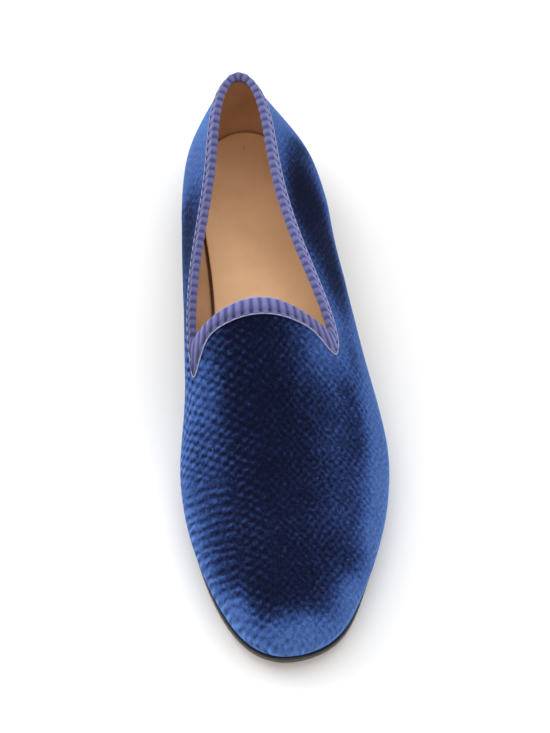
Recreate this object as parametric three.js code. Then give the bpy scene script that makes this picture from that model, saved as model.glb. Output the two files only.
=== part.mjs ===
// A velvet smoking-slipper loafer, left shoe, empty and standing on its sole.
// Millimetres, +Z up, toe toward -Y, inner (big toe) side toward -X.
import * as THREE from 'three';

// Driving sizes of the last, the sole and the trim
const sizes = {
  lastLength: 289.5,
  ballWidth: 100,
  heelWidth: 68,
  collarRise: 56,
  instepRise: 58,
  heelBulge: 3,
  heelBulgeLength: 87,
  wall: 1.8,
  soleThickness: 4.2,
  soleMargin: 1.2,
  soleRound: 0.7,
  toeSpring: 8,
  heelStack: 7.8,
  topPiece: 4.5,
  heelLength: 70,
  heelInset: 0.6,
  breastHollow: 3,
  insoleThickness: 2.6,
  insoleClearance: 0.8,
  insoleDish: 0.6,
  insoleRim: 12,
  tapeThickness: 0.6,
  tapeThroatReach: 7,
  tapeSideReach: 5,
  outerTongue: 7.5,
  innerTongue: 13.2,
  throatLength: 130.7,
  outerCorner: 143.4,
  innerCorner: 143.6,
  edgeBevel: 0.4,
  gap: 0.3,
};

// How finely the curved pieces are faceted
const facets = { around: 96, wall: 12, heelBack: 28, breast: 6 };

// Shares of the last length where the heel seat ends and where the tread meets the floor, and how the toe springs up
const tread = { heelSeat: 0.27, ballBack: 0.6, ballFront: 0.74, springCurve: 1.7 };

// Shape of the topline: how square the throat is, how the V at each corner is rounded and where the ribbon's tongue
// hangs under it. Rounding, its reach and the tongue's place and width are radians round the shoe.
const throat = {
  squareness: 2,
  cornerRound: 0.22,
  cornerReach: 0.4,
  cornerLean: 1.175,
  broadBy: 0.6,
  tonguePast: 0.46,
  tongueWidth: 0.17,
};

const heelHeight = sizes.heelStack + sizes.topPiece + 2 * sizes.gap;

// Sections of the last from heel (share 0) to toe (share 1). Widths are shares of the named width, out to
// the outer side and in to the inner side, and rises are shares of the named rise over the last's bottom edge.
const sections = [
  { share: 0, width: 'heelWidth', rise: 'collarRise', ridge: -0.04, edgeOut: 0, bulgeOut: 0,
    shoulderOut: 0, edgeIn: 0, bulgeIn: 0, shoulderIn: 0, bulgeRise: 0.2, shoulderRise: 1, crownRise: 1.3 },
  { share: 0.025, width: 'heelWidth', rise: 'collarRise', ridge: -0.04, edgeOut: 0.245, bulgeOut: 0.245,
    shoulderOut: 0.112, edgeIn: 0.245, bulgeIn: 0.255, shoulderIn: 0.116, bulgeRise: 0.2, shoulderRise: 0.995,
    crownRise: 1.3 },
  { share: 0.095, width: 'heelWidth', rise: 'collarRise', ridge: -0.044, edgeOut: 0.395, bulgeOut: 0.466,
    shoulderOut: 0.178, edgeIn: 0.385, bulgeIn: 0.44, shoulderIn: 0.192, bulgeRise: 0.23, shoulderRise: 0.96,
    crownRise: 1.27 },
  { share: 0.2, width: 'heelWidth', rise: 'collarRise', ridge: -0.05, edgeOut: 0.44, bulgeOut: 0.562,
    shoulderOut: 0.225, edgeIn: 0.385, bulgeIn: 0.508, shoulderIn: 0.254, bulgeRise: 0.28, shoulderRise: 0.85,
    crownRise: 1.2 },
  { share: 0.34, width: 'ballWidth', rise: 'instepRise', ridge: -0.035, edgeOut: 0.33, bulgeOut: 0.424,
    shoulderOut: 0.243, edgeIn: 0.242, bulgeIn: 0.364, shoulderIn: 0.262, bulgeRise: 0.3, shoulderRise: 0.735,
    crownRise: 1.12 },
  { share: 0.5, width: 'ballWidth', rise: 'instepRise', ridge: -0.02, edgeOut: 0.42, bulgeOut: 0.496,
    shoulderOut: 0.355, edgeIn: 0.285, bulgeIn: 0.366, shoulderIn: 0.332, bulgeRise: 0.29, shoulderRise: 0.75,
    crownRise: 0.99 },
  { share: 0.65, width: 'ballWidth', rise: 'instepRise', ridge: -0.01, edgeOut: 0.505, bulgeOut: 0.561,
    shoulderOut: 0.375, edgeIn: 0.39, bulgeIn: 0.438, shoulderIn: 0.315, bulgeRise: 0.23, shoulderRise: 0.52,
    crownRise: 0.72 },
  { share: 0.79, width: 'ballWidth', rise: 'instepRise', ridge: 0, edgeOut: 0.466, bulgeOut: 0.5,
    shoulderOut: 0.33, edgeIn: 0.382, bulgeIn: 0.41, shoulderIn: 0.277, bulgeRise: 0.2, shoulderRise: 0.42,
    crownRise: 0.53 },
  { share: 0.9, width: 'ballWidth', rise: 'instepRise', ridge: 0.008, edgeOut: 0.358, bulgeOut: 0.374,
    shoulderOut: 0.235, edgeIn: 0.298, bulgeIn: 0.312, shoulderIn: 0.215, bulgeRise: 0.165, shoulderRise: 0.32,
    crownRise: 0.4 },
  { share: 0.975, width: 'ballWidth', rise: 'instepRise', ridge: 0.005, edgeOut: 0.218, bulgeOut: 0.222,
    shoulderOut: 0.132, edgeIn: 0.17, bulgeIn: 0.175, shoulderIn: 0.112, bulgeRise: 0.1, shoulderRise: 0.18,
    crownRise: 0.22 },
  { share: 1, width: 'ballWidth', rise: 'instepRise', ridge: 0, edgeOut: 0, bulgeOut: 0,
    shoulderOut: 0, edgeIn: 0, bulgeIn: 0, shoulderIn: 0, bulgeRise: 0, shoulderRise: 0, crownRise: 0 },
];

// Which table columns change sign when they are carried on past the heel and past the toe
const columnSigns = {
  ridge: { heel: 1, toe: 1 },
  edgeOut: { heel: -1, toe: -1 },
  bulgeOut: { heel: -1, toe: -1 },
  shoulderOut: { heel: -1, toe: -1 },
  edgeIn: { heel: -1, toe: -1 },
  bulgeIn: { heel: -1, toe: -1 },
  shoulderIn: { heel: -1, toe: -1 },
  bulgeRise: { heel: 1, toe: -1 },
  shoulderRise: { heel: 1, toe: -1 },
  crownRise: { heel: 1, toe: -1 },
};

const colours = {
  velvet: 0x1e3a78,
  ribbon: 0x7a80b4,
  insoleLeather: 0xc89a6c,
  soleLeather: 0x1c1a1c,
  heelLeather: 0x17151a,
  rubber: 0x202022,
};

// Natural cubic spline through the values at the knots
function spline(knots, values) {
  const count = knots.length;
  const bend = new Array(count).fill(0);
  const carry = new Array(count).fill(0);
  for (let i = 1; i < count - 1; i += 1) {
    const before = knots[i] - knots[i - 1];
    const after = knots[i + 1] - knots[i];
    const turnHere = (values[i + 1] - values[i]) / after - (values[i] - values[i - 1]) / before;
    const pivot = 2 * (before + after) - before * carry[i - 1];
    carry[i] = after / pivot;
    bend[i] = (6 * turnHere - before * bend[i - 1]) / pivot;
  }
  for (let i = count - 2; i > 0; i -= 1) {
    bend[i] -= carry[i] * bend[i + 1];
  }
  return (at) => {
    let i = 0;
    while (i < count - 2 && at > knots[i + 1]) {
      i += 1;
    }
    const step = knots[i + 1] - knots[i];
    const left = (knots[i + 1] - at) / step;
    const right = (at - knots[i]) / step;
    const bow = (left ** 3 - left) * bend[i] + (right ** 3 - right) * bend[i + 1];
    return left * values[i] + right * values[i + 1] + (bow * step * step) / 6;
  };
}

// The half turn (0 heel to 1 toe) that stands at a share of the length, so that the ends come out round
function turnAt(share) {
  return Math.acos(1 - 2 * share) / Math.PI;
}

function shareAt(turn) {
  return (1 - Math.cos(Math.PI * turn)) / 2;
}

function smooth(x) {
  const t = Math.min(Math.max(x, 0), 1);
  return t * t * t * (t * (6 * t - 15) + 10);
}

// One column of the section table in millimetres, as a smooth function of the half turn
function columnOf(name) {
  const scaleName = name.endsWith('Rise') ? 'rise' : 'width';
  const inside = sections.map((row) => ({ turn: turnAt(row.share), value: row[name] * sizes[row[scaleName]] }));
  const signs = columnSigns[name];
  const carried = 4;
  const pastHeel = inside.slice(1, carried).map((p) => ({ turn: -p.turn, value: signs.heel * p.value }));
  const pastToe = inside.slice(-carried, -1).map((p) => ({ turn: 2 - p.turn, value: signs.toe * p.value }));
  const all = [...pastHeel.reverse(), ...inside, ...pastToe.reverse()];
  return spline(all.map((p) => p.turn), all.map((p) => p.value));
}

const columns = Object.fromEntries(Object.keys(columnSigns).map((name) => [name, columnOf(name)]));

// Underside of the sole over the floor: heel seat, hollow waist, flat tread and toe spring
function soleUnderside(share) {
  const waist = smooth((tread.ballBack - share) / (tread.ballBack - tread.heelSeat));
  const spring = Math.max((share - tread.ballFront) / (1 - tread.ballFront), 0) ** tread.springCurve;
  return heelHeight * waist + sizes.toeSpring * spring;
}

function soleTop(share) {
  return soleUnderside(share) + sizes.soleThickness;
}

function lastBottom(share) {
  return soleTop(share) + sizes.gap;
}

function alongY(share) {
  return sizes.lastLength * (0.5 - share);
}

// How far the back of the heel stands out behind the last's bottom edge: most at two fifths of the collar's rise
function heelCurve(rise, share) {
  const climb = rise / (0.8 * sizes.collarRise);
  const fade = Math.max(1 - (share * sizes.lastLength) / sizes.heelBulgeLength, 0) ** 2;
  return sizes.heelBulge * 4 * climb * (1 - climb) * fade;
}

const sectionStations = [0, 1, 2, 3, 4, 5, 6].map((i) => i / 6);

// A point of the outer surface: turn runs heel to toe, girth runs from the outer edge over the top to the inner
function lastPoint(turn, girth) {
  const at = Object.fromEntries(Object.keys(columns).map((name) => [name, columns[name](turn)]));
  const across = [at.edgeOut, at.bulgeOut, at.ridge + at.shoulderOut, at.ridge,
    at.ridge - at.shoulderIn, -at.bulgeIn, -at.edgeIn];
  const up = [0, at.bulgeRise, at.shoulderRise, at.crownRise, at.shoulderRise, at.bulgeRise, 0];
  const run = [0];
  for (let i = 1; i < across.length; i += 1) {
    const chord = Math.hypot(across[i] - across[i - 1], up[i] - up[i - 1]);
    run.push(run[i - 1] + Math.max(chord, 1e-6) ** 0.75);
  }
  const place = spline(sectionStations, run)(girth);
  const share = shareAt(turn);
  const rise = spline(run, up)(place);
  return new THREE.Vector3(
    spline(run, across)(place),
    alongY(share) + heelCurve(rise, share),
    lastBottom(share) + rise,
  );
}

// The upper is charted on a round disc: its rim is the last's bottom edge, with the heel at +1 along the disc
function discFrom(turn, girth) {
  const radius = Math.sin(Math.PI * turn);
  return new THREE.Vector2(Math.cos(Math.PI * turn), radius * Math.cos(Math.PI * girth));
}

function placeOnDisc(spot) {
  const turn = Math.acos(THREE.MathUtils.clamp(spot.x, -1, 1)) / Math.PI;
  const radius = Math.max(Math.sin(Math.PI * turn), 1e-9);
  const girth = Math.acos(THREE.MathUtils.clamp(spot.y / radius, -1, 1)) / Math.PI;
  return { turn, girth };
}

const topGirth = 1 / 3;

function cornerAt(length) {
  const turn = turnAt(length / sizes.lastLength);
  return { turn, angle: Math.PI * turn * throat.cornerLean };
}

const corners = { out: cornerAt(sizes.outerCorner), in: cornerAt(sizes.innerCorner) };
const throatTop = 1 - (2 * sizes.throatLength) / sizes.lastLength;

// The topline before its two corners are rounded, at an angle round the shoe (0 at the heel, half a turn at the toe)
function sharpTopline(angle) {
  const isOut = angle <= Math.PI;
  const corner = isOut ? corners.out : corners.in;
  const girth = isOut ? topGirth : 1 - topGirth;
  const fromHeel = isOut ? angle : 2 * Math.PI - angle;
  if (fromHeel <= corner.angle) {
    return discFrom((corner.turn * fromHeel) / corner.angle, girth);
  }
  const tip = discFrom(corner.turn, girth);
  const across = Math.sin(((Math.PI - fromHeel) / (Math.PI - corner.angle)) * (Math.PI / 2));
  const drop = across ** throat.squareness;
  return new THREE.Vector2(throatTop + (tip.x - throatTop) * drop, tip.y * across);
}

function topline(angle) {
  const fromHeel = Math.min(angle, 2 * Math.PI - angle);
  const corner = angle <= Math.PI ? corners.out : corners.in;
  const near = Math.exp(-(((fromHeel - corner.angle) / throat.cornerReach) ** 2));
  const samples = 7;
  const mean = new THREE.Vector2();
  for (let i = 0; i < samples; i += 1) {
    const shift = throat.cornerRound * near * ((2 * i) / (samples - 1) - 1);
    mean.addScaledVector(sharpTopline(angle + shift), 1 / samples);
  }
  return mean;
}

// Place on the last of a point of the upper: height 0 at the last's bottom edge, 1 at the topline
function upperPlace(angle, height) {
  const rim = new THREE.Vector2(Math.cos(angle), Math.sin(angle));
  return placeOnDisc(rim.lerp(topline(angle), 1 - Math.cos((Math.PI / 2) * height)));
}

function upperPoint(angle, height) {
  const { turn, girth } = upperPlace(angle, height);
  return lastPoint(turn, girth);
}

// Outward normal of the last, laid level at the bottom edge so that the upper ends in a flat foot
function upperNormal(angle, height) {
  const probe = 1e-3;
  const { turn, girth } = upperPlace(angle, height);
  const low = { turn: Math.max(turn - probe, 0), girth: Math.max(girth - probe, 0) };
  const high = { turn: Math.min(turn + probe, 1), girth: Math.min(girth + probe, 1) };
  const along = lastPoint(high.turn, girth).sub(lastPoint(low.turn, girth));
  const round = lastPoint(turn, high.girth).sub(lastPoint(turn, low.girth));
  const normal = round.cross(along);
  if (height === 0) {
    normal.setZ(0);
  }
  return normal.normalize();
}

// The height on the wall that lies a given distance below the topline
function heightBelow(angle, distance) {
  const steps = 40;
  let travelled = 0;
  let last = upperPoint(angle, 1);
  for (let i = 1; i <= steps; i += 1) {
    const next = upperPoint(angle, 1 - i / steps);
    const step = next.distanceTo(last);
    if (travelled + step >= distance) {
      return 1 - (i - 1 + (distance - travelled) / step) / steps;
    }
    travelled += step;
    last = next;
  }
  return 0;
}

function wallPoint(angle, height, out) {
  return upperPoint(angle, height).addScaledVector(upperNormal(angle, height), out);
}

// How far the ribbon reaches down the wall: it is broader on the throat and ends in a tongue under each corner
function ribbonReach(angle) {
  const corner = angle <= Math.PI ? corners.out : corners.in;
  const tongue = angle <= Math.PI ? sizes.outerTongue : sizes.innerTongue;
  const past = Math.min(angle, 2 * Math.PI - angle) - corner.angle;
  const onThroat = smooth(past / (Math.PI - corner.angle) / throat.broadBy);
  const onTongue = Math.exp(-(((past - throat.tonguePast) / throat.tongueWidth) ** 2));
  return THREE.MathUtils.lerp(sizes.tapeSideReach, sizes.tapeThroatReach, onThroat) + tongue * onTongue;
}

// Heights of the ribbon's rows on the wall, from its lower edge to the topline
function ribbonHeights(angle) {
  const reach = ribbonReach(angle);
  return [1, 0.5, 0].map((share) => heightBelow(angle, share * reach));
}

function angles(count) {
  return Array.from({ length: count }, (unused, i) => (2 * Math.PI * (i + 0.5)) / count);
}

// Closed mesh from vertices and faces
function solid(points, faces) {
  const geometry = new THREE.BufferGeometry();
  geometry.setAttribute('position', new THREE.Float32BufferAttribute(points.flatMap((p) => [p.x, p.y, p.z]), 3));
  geometry.setIndex(faces.flat());
  geometry.computeVertexNormals();
  return geometry;
}

// A closed section carried round the shoe and joined to its start
function closedSweep(loops) {
  const size = loops[0].length;
  const faces = [];
  loops.forEach((loop, i) => {
    const j = (i + 1) % loops.length;
    for (let k = 0; k < size; k += 1) {
      const m = (k + 1) % size;
      faces.push([i * size + k, j * size + m, j * size + k], [i * size + k, i * size + m, j * size + m]);
    }
  });
  return solid(loops.flat(), faces);
}

// A plate from outline rings, listed from its upper middle round the edge to its lower middle
function plate(rings) {
  const size = rings[0].length;
  const faces = [];
  for (let r = 0; r < rings.length - 1; r += 1) {
    for (let k = 0; k < size; k += 1) {
      const m = (k + 1) % size;
      const a = r * size;
      const b = a + size;
      faces.push([a + k, b + m, b + k], [a + k, a + m, b + m]);
    }
  }
  const base = (rings.length - 1) * size;
  for (let k = 0; k < size / 2 - 1; k += 1) {
    const far = size - 1 - k;
    faces.push([k, far - 1, k + 1], [k, far, far - 1]);
    faces.push([base + k, base + k + 1, base + far - 1], [base + k, base + far - 1, base + far]);
  }
  return solid(rings.flat(), faces);
}

// The last's bottom outline seen from above, at an angle round the shoe
function bottomEdge(angle) {
  const turn = angle / Math.PI;
  if (turn <= 1) {
    return new THREE.Vector2(columns.edgeOut(turn), alongY(shareAt(turn)));
  }
  return new THREE.Vector2(-columns.edgeIn(2 - turn), alongY(shareAt(2 - turn)));
}

// The same outline set out or in along its own normal
function outline(angle, out) {
  const probe = 0.03;
  const ahead = bottomEdge(Math.min(angle + probe, 2 * Math.PI));
  const along = ahead.sub(bottomEdge(Math.max(angle - probe, 0))).normalize();
  return bottomEdge(angle).add(new THREE.Vector2(-along.y, along.x).multiplyScalar(out));
}

function shareOfY(y) {
  return THREE.MathUtils.clamp(0.5 - y / sizes.lastLength, 0, 1);
}

function outlineRing(out, heightAt) {
  return angles(facets.around).map((angle) => {
    const spot = outline(angle, out);
    return new THREE.Vector3(spot.x, spot.y, heightAt(shareOfY(spot.y)));
  });
}

function upperGeometry() {
  const loops = angles(facets.around).map((angle) => {
    const covered = ribbonHeights(angle);
    const open = Array.from({ length: facets.wall }, (unused, i) => (covered[0] * i) / facets.wall);
    const heights = [...open, ...covered];
    const outside = heights.map((height) => wallPoint(angle, height, 0));
    const inside = heights.map((height) => wallPoint(angle, height, -sizes.wall));
    return [...outside, ...inside.reverse()];
  });
  return closedSweep(loops);
}

// The ribbon is folded over the topline: a leg outside, a rounded ridge and a leg inside
function bindingGeometry() {
  const near = sizes.gap;
  const far = sizes.gap + sizes.tapeThickness;
  const through = sizes.wall + near;
  const ridgeTurns = [0.1, 0.36, 0.64, 0.9];
  const loops = angles(facets.around).map((angle) => {
    const heights = ribbonHeights(angle);
    const legs = heights.slice(0, 2);
    const top = upperPoint(angle, 1);
    const normal = upperNormal(angle, 1);
    const over = top.clone().sub(upperPoint(angle, heights[1])).normalize();
    const overPoint = (out, up) => top.clone().addScaledVector(normal, out).addScaledVector(over, up);
    const leg = (out) => legs.map((height) => wallPoint(angle, height, out));
    const ridge = ridgeTurns.map((turn) => overPoint(
      -sizes.wall / 2 + (sizes.wall / 2 + far) * Math.cos(Math.PI * turn),
      far * Math.sin(Math.PI * turn),
    ));
    const under = [overPoint(-through, near), overPoint(near, near)];
    return [...leg(far), ...ridge, ...leg(-sizes.wall - far).reverse(), ...leg(-through), ...under,
      ...leg(near).reverse()];
  });
  return closedSweep(loops);
}

function insoleGeometry() {
  const edge = -sizes.wall - sizes.insoleClearance;
  const high = (share) => lastBottom(share) + sizes.insoleThickness;
  return plate([
    outlineRing(edge - sizes.insoleRim, (share) => high(share) - sizes.insoleDish),
    outlineRing(edge - sizes.edgeBevel, high),
    outlineRing(edge, (share) => high(share) - sizes.edgeBevel),
    outlineRing(edge, lastBottom),
  ]);
}

function outsoleGeometry() {
  const out = sizes.soleMargin;
  const round = sizes.soleRound;
  return plate([
    outlineRing(out - sizes.edgeBevel, soleTop),
    outlineRing(out, (share) => soleTop(share) - sizes.edgeBevel),
    outlineRing(out, (share) => soleUnderside(share) + round),
    outlineRing(out - round, soleUnderside),
  ]);
}

// The heel's outline: round at the back and hollow along its breast
function heelShape(inset) {
  const breastShare = sizes.heelLength / sizes.lastLength;
  const breastAngle = Math.PI * turnAt(breastShare);
  const rim = Array.from({ length: facets.heelBack }, (unused, i) => {
    const angle = breastAngle * (1 - (2 * i) / (facets.heelBack - 1));
    return outline(angle > 0 ? angle : 2 * Math.PI + angle, sizes.soleMargin - inset);
  });
  const start = rim[rim.length - 1];
  const end = rim[0];
  const hollow = start.clone().lerp(end, 0.5).add(new THREE.Vector2(0, 2 * sizes.breastHollow));
  const shape = new THREE.Shape(rim);
  shape.quadraticCurveTo(hollow.x, hollow.y, end.x, end.y);
  return shape;
}

function slab(shape, from, to) {
  const bevel = sizes.edgeBevel;
  const geometry = new THREE.ExtrudeGeometry(shape, {
    depth: to - from - 2 * bevel,
    bevelThickness: bevel,
    bevelSize: bevel,
    bevelOffset: -bevel,
    bevelSegments: 1,
    curveSegments: facets.breast,
  });
  geometry.translate(0, 0, from + bevel);
  return geometry;
}

function piece(name, geometry, colour, roughness) {
  const material = new THREE.MeshStandardMaterial({ color: colour, roughness, metalness: 0 });
  const mesh = new THREE.Mesh(geometry, material);
  mesh.name = name;
  return mesh;
}

const shoe = new THREE.Group();
shoe.add(piece('outsole', outsoleGeometry(), colours.soleLeather, 0.45));
shoe.add(piece('upper', upperGeometry(), colours.velvet, 0.9));
shoe.add(piece('binding', bindingGeometry(), colours.ribbon, 0.7));
shoe.add(piece('insole', insoleGeometry(), colours.insoleLeather, 0.55));
const stackBottom = sizes.topPiece + sizes.gap;
shoe.add(piece('heel_stack', slab(heelShape(sizes.heelInset), stackBottom, stackBottom + sizes.heelStack),
  colours.heelLeather, 0.4));
shoe.add(piece('heel_top_piece', slab(heelShape(2 * sizes.heelInset), 0, sizes.topPiece), colours.rubber, 0.8));

// The origin is the bottom centre of the shoe's box
const box = new THREE.Box3().setFromObject(shoe);
const centre = box.getCenter(new THREE.Vector3());
shoe.position.set(-centre.x, -centre.y, -box.min.z);

const part = new THREE.Group();
part.add(shoe);
part.updateMatrixWorld(true);

export default part;
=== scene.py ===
"""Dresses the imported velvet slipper: pile, ribbon, leather, sole and heel, and the studio round it.

Each shape is worked out again from the last's own sections, in millimetres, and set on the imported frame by
the box of the outsole, so every piece stands where its solid does.
"""

from __future__ import annotations

import logging
import math
from dataclasses import dataclass, field
from enum import Enum

import bpy
import numpy as np
from mathutils import Matrix, Vector

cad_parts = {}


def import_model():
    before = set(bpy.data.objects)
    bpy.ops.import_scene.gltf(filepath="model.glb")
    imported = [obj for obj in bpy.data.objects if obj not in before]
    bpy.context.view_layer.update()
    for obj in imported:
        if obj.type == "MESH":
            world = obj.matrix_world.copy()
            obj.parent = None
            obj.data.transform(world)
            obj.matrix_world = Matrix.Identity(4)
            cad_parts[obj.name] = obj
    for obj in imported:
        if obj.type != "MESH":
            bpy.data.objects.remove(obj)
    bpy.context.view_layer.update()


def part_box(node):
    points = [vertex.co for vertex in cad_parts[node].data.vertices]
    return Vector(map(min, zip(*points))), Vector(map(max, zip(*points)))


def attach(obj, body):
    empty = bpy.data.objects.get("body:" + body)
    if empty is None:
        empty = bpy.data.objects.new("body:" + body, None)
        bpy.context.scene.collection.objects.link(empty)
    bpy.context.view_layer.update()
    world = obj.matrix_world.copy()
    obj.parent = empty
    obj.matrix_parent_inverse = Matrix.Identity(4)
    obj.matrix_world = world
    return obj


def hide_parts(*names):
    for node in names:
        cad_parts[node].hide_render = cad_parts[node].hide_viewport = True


LOG = logging.getLogger("slipper")
MM = 0.001
BODY = "root"
CHART = "chart"
CHART_SCALE = 0.01

Array = np.ndarray
Colour = tuple[float, float, float]
Material = bpy.types.Material
Shades = tuple[tuple[float, float], ...]
Shape = bpy.types.Object
Socket = bpy.types.NodeSocket
Triple = tuple[float, float, float]

# Sections of the last from heel (share 0) to toe (share 1), as shares of the named width and rise
COLUMNS = (
    "ridge", "edge_out", "bulge_out", "shoulder_out", "edge_in", "bulge_in", "shoulder_in",
    "bulge_rise", "shoulder_rise", "crown_rise",
)
SECTION_SHARES = (0.0, 0.025, 0.095, 0.2, 0.34, 0.5, 0.65, 0.79, 0.9, 0.975, 1.0)
SECTIONS = (
    (-0.04, 0, 0, 0, 0, 0, 0, 0.2, 1, 1.3),
    (-0.04, 0.245, 0.245, 0.112, 0.245, 0.255, 0.116, 0.2, 0.995, 1.3),
    (-0.044, 0.395, 0.466, 0.178, 0.385, 0.44, 0.192, 0.23, 0.96, 1.27),
    (-0.05, 0.44, 0.562, 0.225, 0.385, 0.508, 0.254, 0.28, 0.85, 1.2),
    (-0.035, 0.33, 0.424, 0.243, 0.242, 0.364, 0.262, 0.3, 0.735, 1.12),
    (-0.02, 0.42, 0.496, 0.355, 0.285, 0.366, 0.332, 0.29, 0.75, 0.99),
    (-0.01, 0.505, 0.561, 0.375, 0.39, 0.438, 0.315, 0.23, 0.52, 0.72),
    (0, 0.466, 0.5, 0.33, 0.382, 0.41, 0.277, 0.2, 0.42, 0.53),
    (0.008, 0.358, 0.374, 0.235, 0.298, 0.312, 0.215, 0.165, 0.32, 0.4),
    (0.005, 0.218, 0.222, 0.132, 0.17, 0.175, 0.112, 0.1, 0.18, 0.22),
    (0, 0, 0, 0, 0, 0, 0, 0, 0, 0),
)
HEEL_SECTIONS = 4
CARRIED_ROWS = 4


class Slot(str, Enum):
    """The record's material slots."""

    UPPER = "upper"
    BINDING = "binding"
    INSOLE = "insole"
    OUTSOLE = "outsole"
    HEEL_STACK = "heel_stack"
    TOP_PIECE = "heel_top_piece"


def bends_of(knots: Array, values: Array) -> Array:
    """Second derivatives of natural cubic splines.

    Args:
        knots: rising knots, one spline a row.
        values: values at the knots.

    Returns:
        The bend at each knot.
    """
    knots, values = np.broadcast_arrays(knots, values)
    step = np.diff(knots, axis=-1)
    slope = np.diff(values, axis=-1) / step
    bend = np.zeros(values.shape)
    carry = np.zeros(values.shape)
    count = values.shape[-1]
    for i in range(1, count - 1):
        before, after = step[..., i - 1], step[..., i]
        pivot = 2 * (before + after) - before * carry[..., i - 1]
        carry[..., i] = after / pivot
        bend[..., i] = (6 * (slope[..., i] - slope[..., i - 1]) - before * bend[..., i - 1]) / pivot
    for i in range(count - 2, 0, -1):
        bend[..., i] -= carry[..., i] * bend[..., i + 1]
    return bend


def follow(knots: Array, values: Array, bend: Array, at: Array) -> Array:
    """Reads splines at one place each.

    Args:
        knots: rising knots, one spline a row or one for all.
        values: values at the knots.
        bend: what bends_of gives for them.
        at: the place on each spline.

    Returns:
        The value at each place.
    """
    knots, values, bend = (np.broadcast_to(a, at.shape + a.shape[-1:]) for a in (knots, values, bend))
    index = np.sum(at[..., None] > knots[..., 1:-1], axis=-1)

    def pick(table: Array, shift: int) -> Array:
        """The table's entry at the left or right knot."""
        return np.take_along_axis(table, (index + shift)[..., None], -1)[..., 0]

    step = pick(knots, 1) - pick(knots, 0)
    left = (pick(knots, 1) - at) / step
    right = (at - pick(knots, 0)) / step
    bow = (left**3 - left) * pick(bend, 0) + (right**3 - right) * pick(bend, 1)
    return left * pick(values, 0) + right * pick(values, 1) + bow * step * step / 6


def unit(vectors: Array) -> Array:
    """Vectors scaled to length one."""
    return vectors / np.maximum(np.linalg.norm(vectors, axis=-1, keepdims=True), 1e-9)


def smooth(value: Array | float) -> Array | float:
    """A soft step from 0 to 1 that starts and ends without a kink."""
    t = np.clip(value, 0, 1)
    return t * t * t * (t * (6 * t - 15) + 10)


def share_at(turn: Array) -> Array:
    """Share of the length at a half turn from heel to toe."""
    return (1 - np.cos(np.pi * turn)) / 2


def turn_at(share: Array | float) -> Array | float:
    """Half turn from heel to toe at a share of the length."""
    return np.arccos(np.clip(1 - 2 * np.asarray(share, float), -1, 1)) / np.pi


def on_disc(turn: Array, girth: Array) -> Array:
    """Place on the round chart of the upper for a half turn and a girth."""
    return np.stack([np.cos(np.pi * turn), np.sin(np.pi * turn) * np.cos(np.pi * girth)], -1)


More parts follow.
